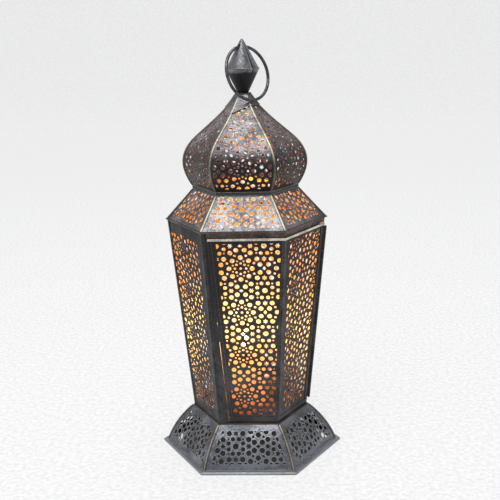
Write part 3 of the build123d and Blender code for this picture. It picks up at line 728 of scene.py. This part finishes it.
def make_lip(name, azimuth, heights, left, right):
    """Flat strip inside one face, between two edges given as functions of height and depth."""
    made = bmesh.new()
    # Corners a to d are below and e to h above, each pair a left and a right one.
    a, b, c, d, e, f, g, h = [
        made.verts.new(on_face(azimuth, edge(up, depth), up, depth))
        for up in heights for depth in LIP_DEPTHS for edge in (left, right)
    ]
    for face in ((a, b, f, e), (c, g, h, d), (a, c, d, b), (e, f, h, g), (a, e, g, c), (b, d, h, f)):
        made.faces.new(face)
    bmesh.ops.recalc_face_normals(made, faces=made.faces)
    lip = link(name, to_mesh(name, made))
    paint(lip, finish["dark_seam"])
    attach(lip, "lantern")


make_lip("door_lip_front", FRONT_FACE, TOP_LIP, shifted(stile_side, -TOP_LAP), half_width)
make_lip("door_lip_side", SIDE_FACE, TOP_LIP, left_corner, shifted(half_width, -HINGE_ROOM))
make_lip(
    "slit_lip", FRONT_FACE, SIDE_LIP,
    shifted(stile_side, -SIDE_LAP), shifted(stile_side, SIDE_LIP_REACH),
)

# ---------------------------------------------------------------- floor

# Radius of the floor's shaded part under the skirt, and the width over which the shade begins.
UNDER_RADIUS = 0.086
UNDER_BLEND = 0.006

# The floor's plan and the curve by which it rises into a backdrop, in metres.
FLOOR_HALF_WIDTH = 6.0
FLOOR_FRONT = -4.0
FLOOR_BACK = 3.5
BACKDROP_BEND = 2.0
BACKDROP_TOP = 6.0
BEND_STEPS = 12


def floor_material():
    """Softly lit pale paper with a fine grain, in deep shade under the lantern's skirt."""
    shader = Shader("floor")
    paper = shader.noise(170.0, detail=4.0, rough=0.6)
    shade = shader.span(shader.reach(), UNDER_RADIUS + UNDER_BLEND, UNDER_RADIUS)
    grain = shader.span(paper, 0.3, 0.7)
    tone = shader.mix(grain, (0.19, 0.19, 0.19), (0.25, 0.25, 0.25))
    glow = shader.mix(grain, (0.64, 0.64, 0.64), (0.74, 0.74, 0.74))
    tone = shader.mix(shade, tone, (0.03, 0.03, 0.032))
    glow = shader.mix(shade, glow, (0.02, 0.02, 0.02))
    relief = shader.bump(paper, strength=0.1, distance=0.2 * MM)
    shader.set(Emission_Color=glow, Emission_Strength=1.0)
    return shader.set(Base_Color=tone, Roughness=0.9, Normal=relief)


def floor_line():
    """Distance back and height, from the floor's front edge to the backdrop's top."""
    line = [(FLOOR_FRONT, 0.0), (FLOOR_BACK, 0.0)]
    for i in range(1, BEND_STEPS + 1):
        turn = math.pi * i / (2 * BEND_STEPS)
        back = FLOOR_BACK + BACKDROP_BEND * math.sin(turn)
        line.append((back, BACKDROP_BEND * (1 - math.cos(turn))))
    line.append((FLOOR_BACK + BACKDROP_BEND, BACKDROP_TOP))
    return line


def make_floor():
    """Floor that sweeps up into a backdrop far behind."""
    made = bmesh.new()
    rows = []
    for y, z in floor_line():
        rows.append((made.verts.new((-FLOOR_HALF_WIDTH, y, z)), made.verts.new((FLOOR_HALF_WIDTH, y, z))))
    for (a, b), (c, d) in zip(rows, rows[1:]):
        made.faces.new((a, b, d, c))
    mesh = to_mesh("floor", made)
    smooth(mesh)
    floor = link("floor", mesh)
    paint(floor, floor_material())


make_floor()

# ---------------------------------------------------------------- lights and world

# Pieces that the inner lights skip: the candle and its wick, which stand too close to them, and all that
# is above the dome.
OUT_OF_CANDLE_LIGHT = (
    "candle", "wick", "neck_ring", "finial_lower_cone", "finial_upper_cone", "carry_ring",
)
FLAME_COLOUR = (1.0, 0.78, 0.42)
GLOW_COLOUR = (1.0, 0.75, 0.38)
FLAME_HEART = (WICK_X, WICK_Y, FLAME_BASE + 0.018)
INNER_SOFTNESS = 0.010
WORLD_COLOUR = (0.92, 0.94, 1.0, 1.0)
WORLD_STRENGTH = 0.42


def area_light(name, place, target, size, power):
    data = bpy.data.lights.new(name, "AREA")
    data.shape = "RECTANGLE"
    data.size, data.size_y = size
    data.energy = power
    light = link(name, data)
    light.location = place
    light.rotation_euler = (Vector(target) - Vector(place)).to_track_quat("-Z", "Y").to_euler()


def candlelit_pieces():
    lit = bpy.data.collections.new("lit_by_candle")
    for name, thing in nodes.items():
        if name not in OUT_OF_CANDLE_LIGHT:
            lit.objects.link(thing)
    return lit


def inner_light(name, place, power, colour, lit):
    """A share of the flame's light. It reaches the lantern's metal only, so that the floor stays plain."""
    data = bpy.data.lights.new(name, "POINT")
    data.energy = power
    data.color = colour
    data.shadow_soft_size = INNER_SOFTNESS
    light = link(name, data)
    light.location = place
    light.light_linking.receiver_collection = lit


def make_world():
    world = bpy.data.worlds.new("studio")
    world.use_nodes = True
    background = world.node_tree.nodes["Background"]
    background.inputs["Color"].default_value = WORLD_COLOUR
    background.inputs["Strength"].default_value = WORLD_STRENGTH
    bpy.context.scene.world = world
    bpy.context.scene.view_settings.view_transform = "Standard"


area_light("key", place=(-0.25, -1.15, 1.95), target=(0, 0, 0.28), size=(1.3, 0.9), power=19.0)
area_light("fill", place=(-1.9, -0.9, 1.2), target=(0, 0, 0.22), size=(1.2, 1.2), power=3.5)
area_light("top", place=(0.1, 0.0, 2.3), target=(0, 0, 0.2), size=(1.2, 1.0), power=17.0)
lit_metal = candlelit_pieces()
inner_light("flame_light", FLAME_HEART, 0.46, FLAME_COLOUR, lit_metal)
inner_light("upper_glow", (0, 0, 0.225), 0.11, GLOW_COLOUR, lit_metal)
inner_light("roof_glow", (0, 0, 0.315), 0.065, GLOW_COLOUR, lit_metal)
make_world()
